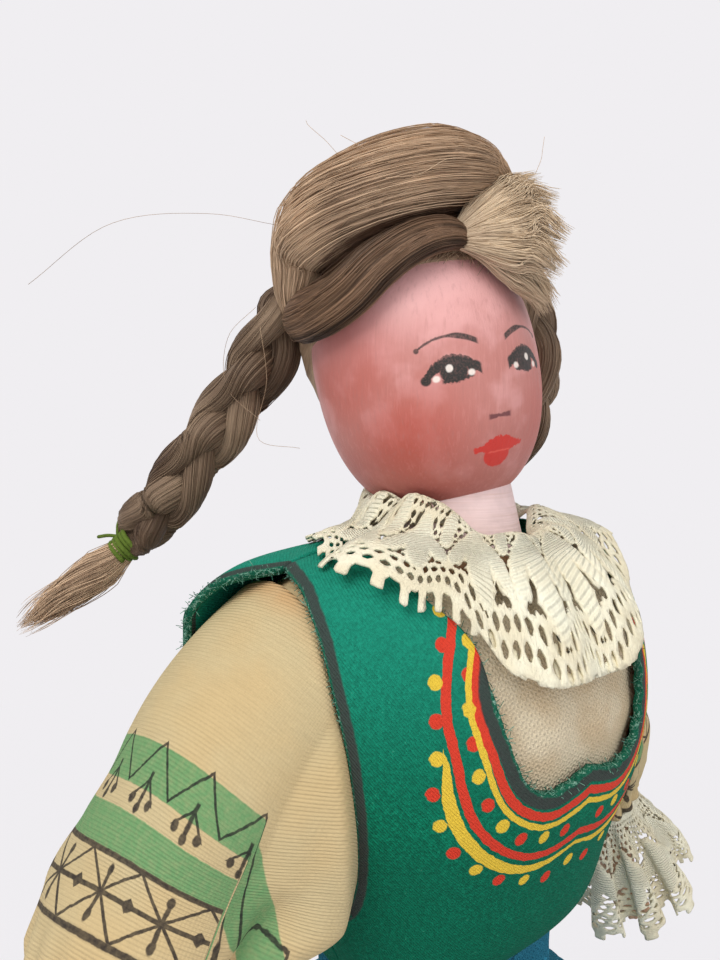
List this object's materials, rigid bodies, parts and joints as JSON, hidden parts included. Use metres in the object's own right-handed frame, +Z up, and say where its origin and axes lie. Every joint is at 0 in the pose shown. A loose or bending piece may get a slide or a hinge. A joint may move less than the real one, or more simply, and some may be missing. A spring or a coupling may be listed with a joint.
{
  "type": "folk costume doll",
  "caption": "Standing wooden doll in folk costume: egg-shaped painted head on a neck spigot, braided hair, felt vest, printed sleeves, lace collar and cuffs, and a gathered skirt.",
  "frame": {"origin": "on the floor, under the middle of the doll", "axes": "+Z up from the boot soles to the hair, -Y the way the doll faces, +X to the doll's left hand"},
  "size_m": [0.192, 0.1668, 0.3116],
  "materials": {
    "head_wood": "satin",
    "neck_wood": "satin",
    "bare_wood": "matte",
    "boot_wood": "satin",
    "hair": "matte",
    "tie_thread": "matte",
    "vest_felt": "matte",
    "linen": "matte",
    "lace": "matte",
    "skirt_cloth": "matte",
    "petticoat_cloth": "matte"
  },
  "bodies": {
    "torso": {"torso_block": "bare_wood", "waist_dowel": "bare_wood", "hip_block": "bare_wood", "right_leg": "bare_wood", "left_leg": "bare_wood", "right_boot": "boot_wood", "left_boot": "boot_wood", "neck": "neck_wood", "right_shoulder_peg": "bare_wood", "left_shoulder_peg": "bare_wood", "blouse_front": "linen", "blouse_back": "linen", "vest_front": "vest_felt", "vest_back": "vest_felt", "collar_lace": "lace", "skirt_waistband": "skirt_cloth", "skirt_gore_front": "skirt_cloth", "skirt_gore_front_left": "skirt_cloth", "skirt_gore_left": "skirt_cloth", "skirt_gore_back_left": "skirt_cloth", "skirt_gore_back": "skirt_cloth", "skirt_gore_back_right": "skirt_cloth", "skirt_gore_right": "skirt_cloth", "skirt_gore_front_right": "skirt_cloth", "petticoat": "petticoat_cloth"},
    "head": {"head": "head_wood", "hair_cap": "hair", "crown_roll": "hair", "brow_hank": "hair", "knot_tuft": "hair"},
    "right_braid": {"right_braid": "hair", "right_braid_tie": "tie_thread", "right_braid_tail": "hair"},
    "left_braid": {"left_braid": "hair", "left_braid_tie": "tie_thread", "left_braid_tail": "hair"},
    "right_arm": {"right_arm": "bare_wood", "right_hand": "bare_wood", "right_sleeve": "linen", "right_cuff_lace": "lace"},
    "left_arm": {"left_arm": "bare_wood", "left_hand": "bare_wood", "left_sleeve": "linen", "left_cuff_lace": "lace"}
  },
  "joints": [
    {"name": "head_turn", "type": "hinge", "parent": "torso", "child": "head", "pos_m": [0, -0.005, 0.239], "axis": [-0.1217, 0.1918, 0.9738], "range_deg": [-30, 30]},
    {"name": "right_shoulder", "type": "hinge", "parent": "torso", "child": "right_arm", "pos_m": [-0.04, 0.002, 0.218], "axis": [-1, 0, 0], "range_deg": [-35, 110]},
    {"name": "left_shoulder", "type": "hinge", "parent": "torso", "child": "left_arm", "pos_m": [0.04, 0.002, 0.218], "axis": [-1, 0, 0], "range_deg": [-35, 110]},
    {"name": "right_braid_lift", "type": "hinge", "parent": "head", "child": "right_braid", "pos_m": [-0.02, 0.0217, 0.2832], "axis": [0.5844, 0.8115, 0], "range_deg": [0, 40]},
    {"name": "left_braid_lift", "type": "hinge", "parent": "head", "child": "left_braid", "pos_m": [0.0152, 0.0059, 0.2899], "axis": [0.8877, -0.4604, 0], "range_deg": [0, 35]}
  ]
}
